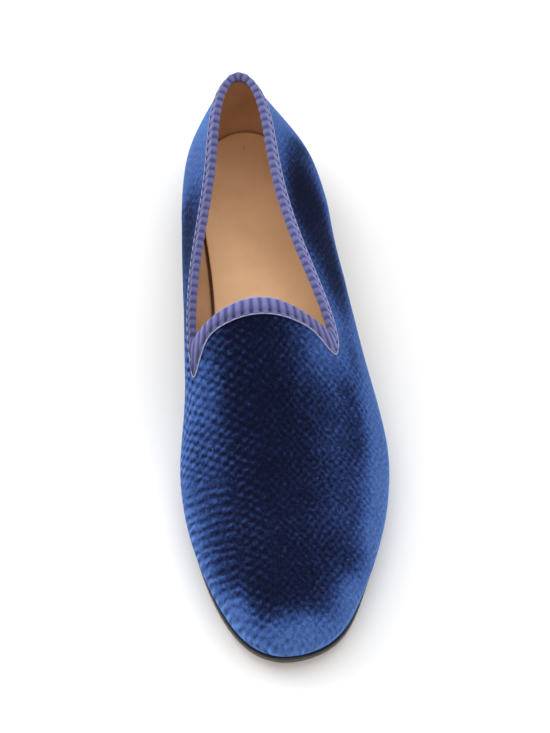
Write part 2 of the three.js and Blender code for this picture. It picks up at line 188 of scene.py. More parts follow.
@dataclass
class Last:
    """The last that the slipper was made on, with its sole and topline. Sizes are in millimetres."""

    length: float = 289.5
    ball_width: float = 100
    heel_width: float = 68
    collar_rise: float = 56
    instep_rise: float = 58
    heel_bulge: float = 3
    heel_bulge_length: float = 87
    wall: float = 1.8
    sole_thickness: float = 4.2
    sole_margin: float = 1.2
    toe_spring: float = 8
    heel_stack: float = 7.8
    top_piece: float = 4.5
    heel_length: float = 70
    gap: float = 0.3
    tape_thickness: float = 0.6
    tape_throat_reach: float = 7
    tape_side_reach: float = 5
    outer_tongue: float = 7.5
    inner_tongue: float = 13.2
    throat_length: float = 130.7
    outer_corner: float = 143.4
    inner_corner: float = 143.6
    heel_seat: float = 0.27
    ball_back: float = 0.6
    ball_front: float = 0.74
    spring_curve: float = 1.7
    squareness: float = 2
    corner_round: float = 0.22
    corner_reach: float = 0.4
    corner_lean: float = 1.175
    broad_by: float = 0.6
    tongue_past: float = 0.46
    tongue_width: float = 0.17
    frame_facets: int = 96
    chord_power: float = 0.75
    bulge_top: float = 0.8
    wall_steps: int = 40
    shift: Array = field(default_factory=lambda: np.zeros(3))

    def __post_init__(self) -> None:
        """Fits the table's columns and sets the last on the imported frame."""
        rows = np.array(SECTIONS, float)
        heel = np.arange(len(rows)) < HEEL_SECTIONS
        widths = np.where(heel, self.heel_width, self.ball_width)
        rises = np.where(heel, self.collar_rise, self.instep_rise)
        turns = turn_at(np.array(SECTION_SHARES))
        last = CARRIED_ROWS
        knots = np.concatenate([-turns[1:last][::-1], turns, 2 - turns[-last:-1][::-1]])
        self.columns = {}
        for number, name in enumerate(COLUMNS):
            is_rise = name.endswith("rise")
            values = rows[:, number] * (rises if is_rise else widths)
            heel_sign = 1 if is_rise or name == "ridge" else -1
            toe_sign = 1 if name == "ridge" else -1
            past_heel = heel_sign * values[1:last][::-1]
            past_toe = toe_sign * values[-last:-1][::-1]
            carried = np.concatenate([past_heel, values, past_toe])
            self.columns[name] = (knots, carried, bends_of(knots, carried))
        self.heel_height = self.heel_stack + self.top_piece + 2 * self.gap
        self.corner_turns = [turn_at(at / self.length) for at in (self.outer_corner, self.inner_corner)]
        self.corner_angles = [np.pi * turn * self.corner_lean for turn in self.corner_turns]
        self.throat_top = 1 - 2 * self.throat_length / self.length
        low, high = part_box("outsole")
        ring = self.outline(self.angles(self.frame_facets), self.sole_margin)
        middle = (ring.min(0) + ring.max(0)) / 2
        packed = np.array([low.x + high.x, low.y + high.y]) / 2 / MM
        self.shift = np.array([*(packed - middle), 0])

    @staticmethod
    def angles(count: int) -> Array:
        """Even angles round the shoe from the heel over the outer side to the toe and back."""
        return 2 * np.pi * (np.arange(count) + 0.5) / count

    def column(self, name: str, turn: Array) -> Array:
        """One column of the section table in millimetres at a half turn."""
        return follow(*self.columns[name], np.asarray(turn, float))

    def underside(self, share: Array) -> Array:
        """Height of the sole's underside: heel seat, hollow waist, flat tread and toe spring."""
        waist = smooth((self.ball_back - share) / (self.ball_back - self.heel_seat))
        spring = np.maximum((share - self.ball_front) / (1 - self.ball_front), 0) ** self.spring_curve
        return self.heel_height * waist + self.toe_spring * spring

    def sole_top(self, share: Array) -> Array:
        """Height of the sole's upper face."""
        return self.underside(share) + self.sole_thickness

    def bottom(self, share: Array) -> Array:
        """Height of the last's bottom edge."""
        return self.sole_top(share) + self.gap

    def point(self, turn: Array, girth: Array) -> Array:
        """Points of the outer surface.

        Args:
            turn: half turn from heel to toe.
            girth: from the outer edge over the top to the inner edge, 0 to 1.

        Returns:
            Points in millimetres, one a row.
        """
        turn, girth = np.broadcast_arrays(np.asarray(turn, float), np.asarray(girth, float))
        at = {name: self.column(name, turn) for name in COLUMNS}
        ridge, flat = at["ridge"], np.zeros(turn.shape)
        across = np.stack([
            at["edge_out"], at["bulge_out"], ridge + at["shoulder_out"], ridge,
            ridge - at["shoulder_in"], -at["bulge_in"], -at["edge_in"],
        ], -1)
        climbs = ("bulge_rise", "shoulder_rise", "crown_rise", "shoulder_rise", "bulge_rise")
        up = np.stack([flat, *(at[name] for name in climbs), flat], -1)
        chord = np.maximum(np.hypot(np.diff(across), np.diff(up)), 1e-6) ** self.chord_power
        run = np.concatenate([flat[..., None], np.cumsum(chord, -1)], -1)
        stations = np.linspace(0, 1, 7)
        place = follow(stations, run, bends_of(stations, run), girth)
        rise = follow(run, up, bends_of(run, up), place)
        share = share_at(turn)
        climb = rise / (self.bulge_top * self.collar_rise)
        fade = np.maximum(1 - share * self.length / self.heel_bulge_length, 0) ** 2
        back = self.heel_bulge * 4 * climb * (1 - climb) * fade
        x = follow(run, across, bends_of(run, across), place)
        return np.stack([x, self.length * (0.5 - share) + back, self.bottom(share) + rise], -1)

    def sharp_topline(self, angle: Array) -> Array:
        """The topline on the chart before its corners are rounded."""
        out = angle <= np.pi
        corner_turn = np.where(out, *self.corner_turns)
        corner_angle = np.where(out, *self.corner_angles)
        girth = np.where(out, 1 / 3, 2 / 3)
        from_heel = np.where(out, angle, 2 * np.pi - angle)
        side = on_disc(corner_turn * from_heel / corner_angle, girth)
        tip = on_disc(corner_turn, girth)
        across = np.sin(np.clip((np.pi - from_heel) / (np.pi - corner_angle), 0, 1) * np.pi / 2)
        drop = across**self.squareness
        top = self.throat_top
        throat = np.stack([top + (tip[..., 0] - top) * drop, tip[..., 1] * across], -1)
        return np.where((from_heel <= corner_angle)[..., None], side, throat)

    def from_corner(self, angle: Array) -> Array:
        """How far an angle lies past its side's corner, toward the toe."""
        from_heel = np.minimum(angle, 2 * np.pi - angle)
        return from_heel - np.where(angle <= np.pi, *self.corner_angles)

    def topline(self, angle: Array) -> Array:
        """The topline on the chart, with both corners rounded."""
        near = np.exp(-((self.from_corner(angle) / self.corner_reach) ** 2))
        samples = np.linspace(-1, 1, 7)
        lines = [self.sharp_topline(angle + self.corner_round * near * sample) for sample in samples]
        return sum(lines) / len(lines)

    def place(self, angle: Array, height: Array) -> tuple[Array, Array]:
        """Half turn and girth of a point of the upper.

        Args:
            angle: angle round the shoe.
            height: 0 at the bottom edge, 1 at the topline.

        Returns:
            The half turn and the girth.
        """
        angle, height = np.broadcast_arrays(np.asarray(angle, float), np.asarray(height, float))
        rim = np.stack([np.cos(angle), np.sin(angle)], -1)
        spot = rim + (self.topline(angle) - rim) * (1 - np.cos(np.pi / 2 * height))[..., None]
        turn = np.arccos(np.clip(spot[..., 0], -1, 1)) / np.pi
        radius = np.maximum(np.sin(np.pi * turn), 1e-9)
        return turn, np.arccos(np.clip(spot[..., 1] / radius, -1, 1)) / np.pi

    def upper(self, angle: Array, height: Array) -> Array:
        """Points of the upper's outer face in millimetres."""
        return self.point(*self.place(angle, height))

    def normal(self, angle: Array, height: Array) -> Array:
        """Outward normals of the upper, level at its foot."""
        probe = 1e-3
        turn, girth = self.place(angle, height)
        ahead, behind = np.minimum(turn + probe, 1), np.maximum(turn - probe, 0)
        over, back = np.minimum(girth + probe, 1), np.maximum(girth - probe, 0)
        along = self.point(ahead, girth) - self.point(behind, girth)
        around = self.point(turn, over) - self.point(turn, back)
        normal = np.cross(around, along)
        foot = np.broadcast_to(np.asarray(height) == 0, normal.shape[:-1])
        normal[..., 2] = np.where(foot, 0, normal[..., 2])
        return unit(normal)

    def height_below(self, angle: Array, distance: Array) -> Array:
        """Heights on the wall that lie given distances below the topline.

        Args:
            angle: angles round the shoe.
            distance: distances down the wall, as many as the angles.

        Returns:
            The height at each angle.
        """
        heights = 1 - np.arange(self.wall_steps + 1) / self.wall_steps
        points = self.upper(angle[:, None], heights[None, :])
        steps = np.linalg.norm(np.diff(points, axis=1), axis=-1)
        run = np.concatenate([np.zeros((len(angle), 1)), np.cumsum(steps, 1)], 1)
        return np.array([np.interp(d, r, heights) for d, r in zip(distance, run)])

    def tape_reach(self, angle: Array) -> Array:
        """How far the ribbon reaches down the wall: broader on the throat, with a tongue at each corner."""
        out = angle <= np.pi
        past = self.from_corner(angle)
        on_throat = smooth(past / (np.pi - np.where(out, *self.corner_angles)) / self.broad_by)
        on_tongue = np.exp(-(((past - self.tongue_past) / self.tongue_width) ** 2))
        reach = self.tape_side_reach + (self.tape_throat_reach - self.tape_side_reach) * on_throat
        return reach + np.where(out, self.outer_tongue, self.inner_tongue) * on_tongue

    def edge(self, angle: Array) -> Array:
        """The last's bottom outline seen from above."""
        turn = angle / np.pi
        out = turn <= 1
        half = np.where(out, turn, 2 - turn)
        x = np.where(out, self.column("edge_out", half), -self.column("edge_in", half))
        return np.stack([x, self.length * (0.5 - share_at(half))], -1)

    def outline(self, angle: Array, out: float | Array) -> Array:
        """The bottom outline set out along its own normal.

        Args:
            angle: angles round the shoe.
            out: millimetres outward.

        Returns:
            Points seen from above.
        """
        probe = 0.03
        ahead = self.edge(np.minimum(angle + probe, 2 * np.pi))
        along = unit(ahead - self.edge(np.maximum(angle - probe, 0)))
        across = np.stack([-along[..., 1], along[..., 0]], -1)
        return self.edge(angle) + across * np.asarray(out, float)[..., None]

    def share_of(self, y: Array) -> Array:
        """Share of the length at a place along the shoe."""
        return np.clip(0.5 - y / self.length, 0, 1)

    def ring(self, angle: Array, out: float, height: object) -> Array:
        """A ring along the bottom outline, at the height that a function of the share gives."""
        spot = self.outline(angle, out)
        return np.concatenate([spot, height(self.share_of(spot[:, 1]))[:, None]], 1)


@dataclass
class Cloth:
    """A flat chart of the velvet: millimetres across from the ridge, and along from toe to heel."""

    last: Last
    turns: int = 200
    girths: int = 61

    def __post_init__(self) -> None:
        """Measures the last along its sections and along its bulge."""
        turn = np.linspace(0, 1, self.turns)
        girth = np.linspace(0, 1, self.girths)
        grid = self.last.point(turn[:, None], girth[None, :])
        steps = np.linalg.norm(np.diff(grid, axis=1), axis=-1)
        run = np.concatenate([np.zeros((self.turns, 1)), np.cumsum(steps, 1)], 1)
        self.across = run - run[:, [self.girths // 2]]
        bulge = grid[:, self.girths // 6]
        along = np.concatenate([[0], np.cumsum(np.linalg.norm(np.diff(bulge, axis=0), axis=-1))])
        plain = self.last.length * (0.5 - share_at(turn))
        middle = self.turns // 2
        self.along = np.where(np.arange(self.turns) < middle, along[middle] - along + plain[middle], plain)

    def chart(self, turn: Array, girth: Array) -> Array:
        """Flat place of points of the upper, in millimetres."""
        row = turn * (self.turns - 1)
        column = girth * (self.girths - 1)
        r = np.clip(row.astype(int), 0, self.turns - 2)
        c = np.clip(column.astype(int), 0, self.girths - 2)
        fr, fc = row - r, column - c
        table = self.across
        near = table[r, c] * (1 - fc) + table[r, c + 1] * fc
        far = table[r + 1, c] * (1 - fc) + table[r + 1, c + 1] * fc
        along = self.along[r] * (1 - fr) + self.along[r + 1] * fr
        return np.stack([near * (1 - fr) + far * fr, along], -1)


def sweep(around: int, rows: int) -> tuple[Array, Array, Array]:
    """Quads of a closed section carried round and joined to its start.

    Args:
        around: how many sections.
        rows: points in a section.

    Returns:
        The faces, and each corner's column and row, counted on past the joins.
    """
    i, k = np.meshgrid(np.arange(around), np.arange(rows), indexing="ij")
    j, m = (i + 1) % around, (k + 1) % rows
    faces = np.stack([i * rows + k, i * rows + m, j * rows + m, j * rows + k], -1).reshape(-1, 4)
    columns = np.stack([i, i, i + 1, i + 1], -1).reshape(-1, 4)
    return faces, columns, np.stack([k, k + 1, k + 1, k], -1).reshape(-1, 4)


def plate(rings: int, size: int) -> Array:
    """Quads of a plate from outline rings, from its upper middle round the edge to its lower middle."""
    r, k = np.meshgrid(np.arange(rings - 1), np.arange(size), indexing="ij")
    m = (k + 1) % size
    a = r * size
    side = np.stack([a + k, a + m, a + size + m, a + size + k], -1).reshape(-1, 4)
    k = np.arange(size // 2 - 1)
    far = size - 1 - k
    base = (rings - 1) * size
    top = np.stack([k, far, far - 1, k + 1], -1)
    low = np.stack([base + k, base + k + 1, base + far - 1, base + far], -1)
    return np.concatenate([side, top, low])


@dataclass
class Bench:
    """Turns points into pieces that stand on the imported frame."""

    last: Last

    def piece(
        self,
        name: str,
        points: Array,
        faces: Array,
        finish: Material,
        slot: Slot,
        chart: Array | None = None,
        marks: dict[str, Array] | None = None,
        stands_for: tuple[str, ...] = (),
    ) -> Shape:
        """Adds one piece.

        Args:
            name: the piece's name.
            points: millimetres in the last's own axes.
            faces: quads.
            finish: its material.
            slot: the record's slot of its finish.
            chart: millimetres on the flat, one place for each corner of each face.
            marks: values at the points that the finish reads.
            stands_for: the nodes that it replaces.

        Returns:
            The piece, riding on the body.
        """
        mesh = bpy.data.meshes.new(name)
        places = (points.reshape(-1, 3) + self.last.shift) * MM
        mesh.from_pydata(places.tolist(), [], faces.tolist())
        mesh.update()
        mesh.polygons.foreach_set("use_smooth", [True] * len(mesh.polygons))
        mesh.materials.append(finish)
        if chart is not None:
            layer = mesh.uv_layers.new(name=CHART)
            layer.data.foreach_set("uv", (chart * CHART_SCALE).astype(np.float32).ravel())
        for mark, values in (marks or {}).items():
            attribute = mesh.attributes.new(mark, "FLOAT", "POINT")
            attribute.data.foreach_set("value", values.astype(np.float32).ravel())
        mesh.validate()
        shape = bpy.data.objects.new(name, mesh)
        bpy.context.scene.collection.objects.link(shape)
        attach(shape, BODY)
        if stands_for:
            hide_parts(*stands_for)
        return shape


class Board:
    """A node tree that is being wired."""

    def __init__(self, tree: bpy.types.NodeTree) -> None:
        """Starts on an empty tree."""
        self.tree = tree

    def node(self, kind: str, inputs: dict | None = None, **settings: object) -> bpy.types.Node:
        """Adds a node.

        Args:
            kind: its type, without the leading ShaderNode.
            inputs: values or sockets for its inputs.
            settings: its own properties.

        Returns:
            The node.
        """
        node = self.tree.nodes.new("ShaderNode" + kind)
        for name, value in settings.items():
            setattr(node, name, value)
        for name, value in (inputs or {}).items():
            if isinstance(value, Socket):
                self.tree.links.new(value, node.inputs[name])
            else:
                node.inputs[name].default_value = value
        return node

    def math(self, operation: str, *values: object) -> Socket:
        """A number from one or two others."""
        return self.node("Math", dict(enumerate(values)), operation=operation).outputs[0]

    def spread(self, value: object, low: float, high: float, to: tuple = (0, 1)) -> Socket:
        """A number carried from one range to another, with soft ends."""
        inputs = {0: value, 1: low, 2: high, 3: to[0], 4: to[1]}
        return self.node("MapRange", inputs, interpolation_type="SMOOTHSTEP").outputs[0]

    def vector(self, operation: str, *values: object) -> Socket:
        """A vector from one, two or three others."""
        return self.node("VectorMath", dict(enumerate(values)), operation=operation).outputs[0]

    def mix(self, amount: object, first: object, second: object) -> Socket:
        """A number between two others."""
        return self.node("Mix", {0: amount, 2: first, 3: second}).outputs[0]

    def shade(self, colour: object, share: object) -> Socket:
        """A colour made darker or lighter by a number."""
        return self.node("VectorMath", {0: colour, "Scale": share}, operation="SCALE").outputs[0]

    def blend(self, amount: object, first: object, second: object) -> Socket:
        """Two colours blended."""
        return self.node("Mix", {0: amount, 6: first, 7: second}, data_type="RGBA").outputs[2]

    def mark(self, name: str) -> Socket:
        """A mark that the mesh carries."""
        return self.node("Attribute", attribute_name=name).outputs["Fac"]

    def sway(self, value: object, amount: object, onto: object) -> Socket:
        """A number moved by how far another stands from one half."""
        return self.math("MULTIPLY_ADD", self.math("SUBTRACT", value, 0.5), amount, onto)

    def feed(self, shader: bpy.types.Node, name: str, value: Socket) -> None:
        """Wires a value into one of a shader's inputs."""
        self.tree.links.new(value, shader.inputs[name])

    def noise(self, place: object, scale: object, detail: float, rough: float) -> Socket:
        """A cloudy number at a place in millimetres."""
        inputs = {"Vector": place, "Scale": scale, "Detail": detail, "Roughness": rough}
        return self.node("TexNoise", inputs).outputs["Fac"]

    def ramp(self, amount: object, stops: tuple[tuple[float, Colour], ...]) -> Socket:
        """A colour from a number, through the stops."""
        node = self.node("ValToRGB", {0: amount})
        elements = node.color_ramp.elements
        while len(elements) < len(stops):
            elements.new(0.5)
        for element, (place, colour) in zip(elements, stops):
            element.position = place
            element.color = (*colour, 1)
        return node.outputs[0]


class Effect(Enum):
    """The effects that several finishes share."""

    BLOTCHES = "Soft blotches"
    GRAIN = "Fine grain"
    SPECKS = "Loose specks"


class Effects:
    """Node groups for what several finishes share, each built once."""

    SOCKETS = {
        Effect.BLOTCHES: ("Size", "Contrast"),
        Effect.GRAIN: ("Size", "Contrast"),
        Effect.SPECKS: ("Spacing", "Width"),
    }
    RARE = 0.72

    def __init__(self) -> None:
        """Builds the groups."""
        makers = {
            Effect.BLOTCHES: self.blotches,
            Effect.GRAIN: self.grain,
            Effect.SPECKS: self.specks,
        }
        self.groups = {effect: self.group(effect, maker) for effect, maker in makers.items()}

    def group(self, effect: Effect, maker: object) -> bpy.types.NodeTree:
        """One group with a place, two numbers and a value out.

        Args:
            effect: which effect it is.
            maker: wires the group and gives its value.

        Returns:
            The node group.
        """
        tree = bpy.data.node_groups.new(effect.value, "ShaderNodeTree")
        tree.interface.new_socket(name="Place", in_out="INPUT", socket_type="NodeSocketVector")
        for name in self.SOCKETS[effect]:
            tree.interface.new_socket(name=name, in_out="INPUT", socket_type="NodeSocketFloat")
        tree.interface.new_socket(name="Value", in_out="OUTPUT", socket_type="NodeSocketFloat")
        start = tree.nodes.new("NodeGroupInput")
        end = tree.nodes.new("NodeGroupOutput")
        tree.links.new(maker(Board(tree), start.outputs), end.inputs["Value"])
        return tree

    @staticmethod
    def cloud(board: Board, given: object, detail: float, rough: float) -> Socket:
        """Noise of a given size and contrast, round one half."""
        scale = board.math("DIVIDE", 1.0, given["Size"])
        return board.sway(board.noise(given["Place"], scale, detail, rough), given["Contrast"], 0.5)

    def blotches(self, board: Board, given: object) -> Socket:
        """Large soft clouds."""
        return self.cloud(board, given, 3, 0.55)

    def grain(self, board: Board, given: object) -> Socket:
        """Fine grain, coarse and fine together."""
        return self.cloud(board, given, 4, 0.7)

    def specks(self, board: Board, given: object) -> Socket:
        """Small loose specks, few and of uneven size."""
        scale = board.math("DIVIDE", 1.0, given["Spacing"])
        cells = board.node("TexVoronoi", {"Vector": given["Place"], "Scale": scale, "Randomness": 1.0})
        chosen = board.node("SeparateColor", {0: cells.outputs["Color"]}).outputs[0]
        rare = board.math("GREATER_THAN", chosen, self.RARE)
        reach = board.math("MULTIPLY", board.math("MULTIPLY", given["Width"], scale), chosen)
        return board.math("MULTIPLY", board.math("LESS_THAN", cells.outputs["Distance"], reach), rare)

    def place(self, board: Board, effect: Effect, place: object, *numbers: float) -> Socket:
        """Uses an effect in a material.

        Args:
            board: the material's tree.
            effect: which effect.
            place: where on the surface, in millimetres.
            numbers: its two numbers.

        Returns:
            The effect's value.
        """
        node = board.tree.nodes.new("ShaderNodeGroup")
        node.node_tree = self.groups[effect]
        board.tree.links.new(place, node.inputs["Place"])
        for name, value in zip(self.SOCKETS[effect], numbers):
            node.inputs[name].default_value = value
        return node.outputs["Value"]


def darker(colour: Colour, share: float) -> Colour:
    """A share of a colour."""
    return tuple(channel * share for channel in colour)


@dataclass(frozen=True)
class Finish:
    """What the finishes have in common: a material, its shader and places in millimetres."""

    effects: Effects

    def start(self, name: str, **sockets: object) -> tuple[Board, bpy.types.Node, Material]:
        """Starts a material.

        Args:
            name: its name.
            sockets: plain values of the shader, with spaces as underscores.

        Returns:
            The board, the shader and the material.
        """
        material = bpy.data.materials.new(name)
        material.use_nodes = True
        shader = material.node_tree.nodes["Principled BSDF"]
        for key, value in sockets.items():
            shader.inputs[key.replace("_", " ")].default_value = value
        return Board(material.node_tree), shader, material

    @staticmethod
    def chart(board: Board) -> Socket:
        """The flat place in millimetres."""
        place = board.node("UVMap", uv_map=CHART).outputs[0]
        return board.vector("MULTIPLY", place, (1 / CHART_SCALE,) * 3)

    @staticmethod
    def body(board: Board) -> Socket:
        """The place in the shoe in millimetres."""
        place = board.node("TexCoord").outputs["Object"]
        return board.vector("MULTIPLY", place, (1 / MM,) * 3)

    @staticmethod
    def relief(board: Board, shader: bpy.types.Node, height: object, depth: float) -> Socket:
        """Gives the shader a bump.

        Args:
            board: the material's tree.
            shader: the shader.
            height: height from 0 to 1.
            depth: millimetres between them.

        Returns:
            The bumped normal.
        """
        bump = board.node("Bump", {"Height": height, "Distance": depth * MM, "Strength": 1.0})
        board.feed(shader, "Normal", bump.outputs[0])
        return bump.outputs[0]


@dataclass(frozen=True)
class Velvet(Finish):
    """Short silk pile in staggered dashes, its sheen painted in: navy facing the eye, royal blue turned away.

    Sizes are in millimetres. Tones move a place along the painted sheen, and lights make its colour lighter
    or darker.
    """

    row: float = 2.25
    broad_dash: float = 3.6
    fine_dash: float = 2.0
    drift_scale: float = 0.11
    drift: float = 5.0
    cloud_size: float = 24.0
    patch_size: float = 6.5
    grain_size: float = 1.7
    grain_contrast: float = 2.4
    lint_spacing: float = 10.0
    lint_width: float = 0.34
    lint_cover: float = 0.45
    pile_height: float = 0.26
    cloud_tone: float = 0.1
    grain_tone: float = 0.12
    tuft_tone: float = 0.16
    tuft_light: float = 0.42
    tip_light: float = 0.75
    # Colours of the painted sheen: navy where the pile faces the eye, royal blue as it turns away
    sheen_tones: tuple[tuple[float, Colour], ...] = (
        (0.0, (0.0038, 0.0055, 0.021)),
        (0.07, (0.006, 0.01, 0.037)),
        (0.15, (0.0135, 0.026, 0.092)),
        (0.25, (0.031, 0.068, 0.22)),
        (0.36, (0.052, 0.108, 0.32)),
        (0.6, (0.068, 0.134, 0.36)),
        (0.9, (0.085, 0.19, 0.5)),
    )
    lint: Colour = (0.2, 0.25, 0.45)

    def weave(self, board: Board, place: Socket) -> Socket:
        """The pile's dashes, from -1 in the gaps to 1 on the tufts.

        Args:
            board: the material's tree.
            place: the flat place in millimetres.

        Returns:
            Wavy rows where the marks join them, broad dashes on the inner side and fine ones elsewhere.
        """
        across, along, _ = board.node("SeparateXYZ", {0: place}).outputs

        def waves(way: object, size: float) -> Socket:
            """Waves one way, each half of them one size long."""
            return board.math("SINE", board.math("MULTIPLY", way, math.pi / size))

        rows = waves(along, self.row)
        fine, broad = (
            board.math("MULTIPLY", rows, waves(across, dash)) for dash in (self.fine_dash, self.broad_dash)
        )
        dashes = board.mix(board.mark("inner"), fine, broad)
        return board.mix(board.mark("joined"), dashes, rows)

    def wander(self, board: Board, place: Socket) -> Socket:
        """The flat place with the rows led a little astray."""
        noise = board.node("TexNoise", {"Vector": place, "Scale": self.drift_scale, "Detail": 3})
        centred = board.vector("SUBTRACT", noise.outputs["Color"], (0.5, 0.5, 0.5))
        return board.vector("MULTIPLY_ADD", centred, (self.drift, self.drift, 0.0), place)

    def make(self) -> Material:
        """Builds the material."""
        board, shader, material = self.start(
            "Velvet pile", Roughness=0.85, Specular_IOR_Level=0.05, Sheen_Weight=0.25,
            Sheen_Roughness=0.3, Sheen_Tint=(0.2, 0.4, 1.0, 1),
        )
        place = self.chart(board)
        weave = self.weave(board, self.wander(board, place))
        clouds = self.effects.place(board, Effect.BLOTCHES, place, self.cloud_size, 1.0)
        patches = self.effects.place(board, Effect.BLOTCHES, place, self.patch_size, 1.0)
        grain = self.effects.place(board, Effect.GRAIN, place, self.grain_size, self.grain_contrast)
        lint = self.effects.place(board, Effect.SPECKS, place, self.lint_spacing, self.lint_width)
        uneven = board.spread(patches, 0.3, 0.6, (0.6, 1.1))
        tufts = board.math("MULTIPLY", weave, board.math("MULTIPLY", board.mark("shown"), uneven))
        height = board.math("MULTIPLY_ADD", tufts, 0.5, board.math("MULTIPLY", grain, 0.5))
        self.relief(board, shader, height, self.pile_height)
        # The sheen is painted into the colour: lighter as the surface turns from the eye
        facing = board.node("LayerWeight", {"Blend": 0.5}).outputs["Facing"]
        # The painted-sheen patches make the sheen lighter or darker region by region
        light = board.math("ADD", facing, board.mark("painted_sheen"))
        for effect, tone in ((clouds, self.cloud_tone), (patches, self.cloud_tone), (grain, self.grain_tone)):
            light = board.sway(effect, tone, light)
        # The dash pattern with painted light and shade: tufts painted lighter and the gaps between them
        # darker, plus a random grain
        light = board.math("MULTIPLY_ADD", tufts, self.tuft_tone, light)
        painted_tip_light = board.sway(grain, self.tip_light, board.math("MULTIPLY_ADD", tufts, self.tuft_light, 1.0))
        colour = board.shade(board.ramp(light, self.sheen_tones), painted_tip_light)
        colour = board.blend(board.math("MULTIPLY", lint, self.lint_cover), colour, (*self.lint, 1))
        board.feed(shader, "Base Color", colour)
        return material


@dataclass(frozen=True)
class Ribbon(Finish):
    """Grosgrain ribbon: lilac blue ribs with painted light, lit on the crests, shaded in the valleys and
    facing the eye.
    """

    # Rib colours seen aslant, crest lit and valley in painted shade; standing and hollow are the same ribs
    # facing the eye, darkened by a painted sheen
    crest_light: Colour = (0.2, 0.215, 0.43)
    valley_shade: Colour = (0.12, 0.125, 0.31)
    standing: Colour = (0.125, 0.125, 0.275)
    hollow: Colour = (0.05, 0.052, 0.15)
    threads: Triple = (0.5, 2.2, 1.0)
    thread_depth: float = 0.15
    cloud_size: float = 7.0
    thread_tone: float = 0.6
    cloud_tone: float = 0.7
    stops: tuple[float, float] = (0.1, 0.75)

    def make(self) -> Material:
        """Builds the material."""
        board, shader, material = self.start(
            "Grosgrain ribbon", Roughness=0.7, Specular_IOR_Level=0.15, Sheen_Weight=0.15,
            Sheen_Roughness=0.4, Sheen_Tint=(0.6, 0.65, 0.95, 1),
        )
        place = self.chart(board)
        threads = board.node("Mapping", {"Vector": place, "Scale": self.threads}).outputs[0]
        weft = self.effects.place(board, Effect.GRAIN, threads, 1.0, 1.6)
        clouds = self.effects.place(board, Effect.BLOTCHES, place, self.cloud_size, 1.0)
        normal = self.relief(board, shader, weft, self.thread_depth)
        # A sheen painted into the colour: where a rib faces the eye it takes the darker standing and hollow
        # tones
        facing = board.node("LayerWeight", {"Blend": 0.5, "Normal": normal}).outputs["Facing"]
        # Crests painted lighter and valleys painted in shade, rib by rib, with the weft's random tone
        light = board.sway(weft, self.thread_tone, board.mark("crest_light"))
        light = board.sway(clouds, self.cloud_tone, light)
        leaning = board.ramp(light, tuple(zip(self.stops, (self.valley_shade, self.crest_light))))
        standing = board.ramp(light, tuple(zip(self.stops, (self.hollow, self.standing))))
        colour = board.blend(board.spread(facing, 0.05, 0.5), standing, leaning)
        # The shade mark paints light and shade onto the ribbon, region by region
        board.feed(shader, "Base Color", board.shade(colour, board.mark("shade")))
        return material


@dataclass(frozen=True)
class Thread(Finish):
    """Plain spun thread."""

    name: str
    colour: Colour
    twist_size: float = 0.5
    twist_depth: float = 0.08

    def make(self) -> Material:
        """Builds the material."""
        board, shader, material = self.start(self.name, Roughness=0.6, Specular_IOR_Level=0.25)
        twist = self.effects.place(board, Effect.GRAIN, self.body(board), self.twist_size, 2.0)
        colour = board.ramp(twist, ((0.3, darker(self.colour, 0.55)), (0.7, self.colour)))
        board.feed(shader, "Base Color", colour)
        self.relief(board, shader, twist, self.twist_depth)
        return material


@dataclass(frozen=True)
class Leather(Finish):
    """Natural leather with a fine grain and handling marks."""

    name: str = "Natural leather"
    light: Colour = (0.68, 0.42, 0.24)
    dark: Colour = (0.54, 0.3, 0.15)
    gloss: float = 0.5
    cloud_size: float = 30.0
    pore: float = 0.55
    pore_depth: float = 0.07
    pore_tone: float = 0.25
    speck_cover: float = 0.35
    uneven_gloss: float = 0.16

    def make(self) -> Material:
        """Builds the material."""
        board, shader, material = self.start(self.name, Roughness=self.gloss, Specular_IOR_Level=0.35)
        place = self.body(board)
        clouds = self.effects.place(board, Effect.BLOTCHES, place, self.cloud_size, 1.6)
        grain = self.effects.place(board, Effect.GRAIN, place, self.pore, 1.6)
        specks = self.effects.place(board, Effect.SPECKS, place, 11.0, 0.4)
        tone = board.sway(grain, self.pore_tone, clouds)
        colour = board.ramp(tone, ((0.2, self.dark), (0.8, self.light)))
        colour = board.blend(board.math("MULTIPLY", specks, self.speck_cover), colour, (*self.dark, 1))
        board.feed(shader, "Base Color", colour)
        smoothest = self.gloss - self.uneven_gloss / 2
        board.feed(shader, "Roughness", board.math("MULTIPLY_ADD", clouds, self.uneven_gloss, smoothest))
        self.relief(board, shader, grain, self.pore_depth)
        return material


@dataclass(frozen=True)
class DressedEdge(Finish):
    """Sole leather: edges in black dressing, rubbed a little brown at their rims, and a tan underside."""

    name: str = "Dressed sole leather"
    black: Colour = (0.012, 0.011, 0.013)
    brown: Colour = (0.13, 0.07, 0.035)
    tan: Colour = (0.5, 0.29, 0.15)
    cloud_size: float = 22.0
    grain_size: float = 0.9
    grain_depth: float = 0.06

    def make(self) -> Material:
        """Builds the material."""
        board, shader, material = self.start(self.name, Roughness=0.4, Specular_IOR_Level=0.45)
        place = self.body(board)
        clouds = self.effects.place(board, Effect.BLOTCHES, place, self.cloud_size, 1.6)
        grain = self.effects.place(board, Effect.GRAIN, place, self.grain_size, 1.8)
        tan = board.ramp(board.sway(grain, 0.5, clouds), ((0.2, darker(self.tan, 0.72)), (0.8, self.tan)))
        ragged = board.spread(board.math("MULTIPLY_ADD", grain, 0.4, board.mark("worn")), 0.55, 0.85)
        edge = board.blend(ragged, (*self.black, 1), (*self.brown, 1))
        board.feed(shader, "Base Color", board.blend(board.mark("dressed"), tan, edge))
        board.feed(shader, "Roughness", board.math("MULTIPLY_ADD", grain, 0.3, 0.3))
        self.relief(board, shader, grain, self.grain_depth)
        return material


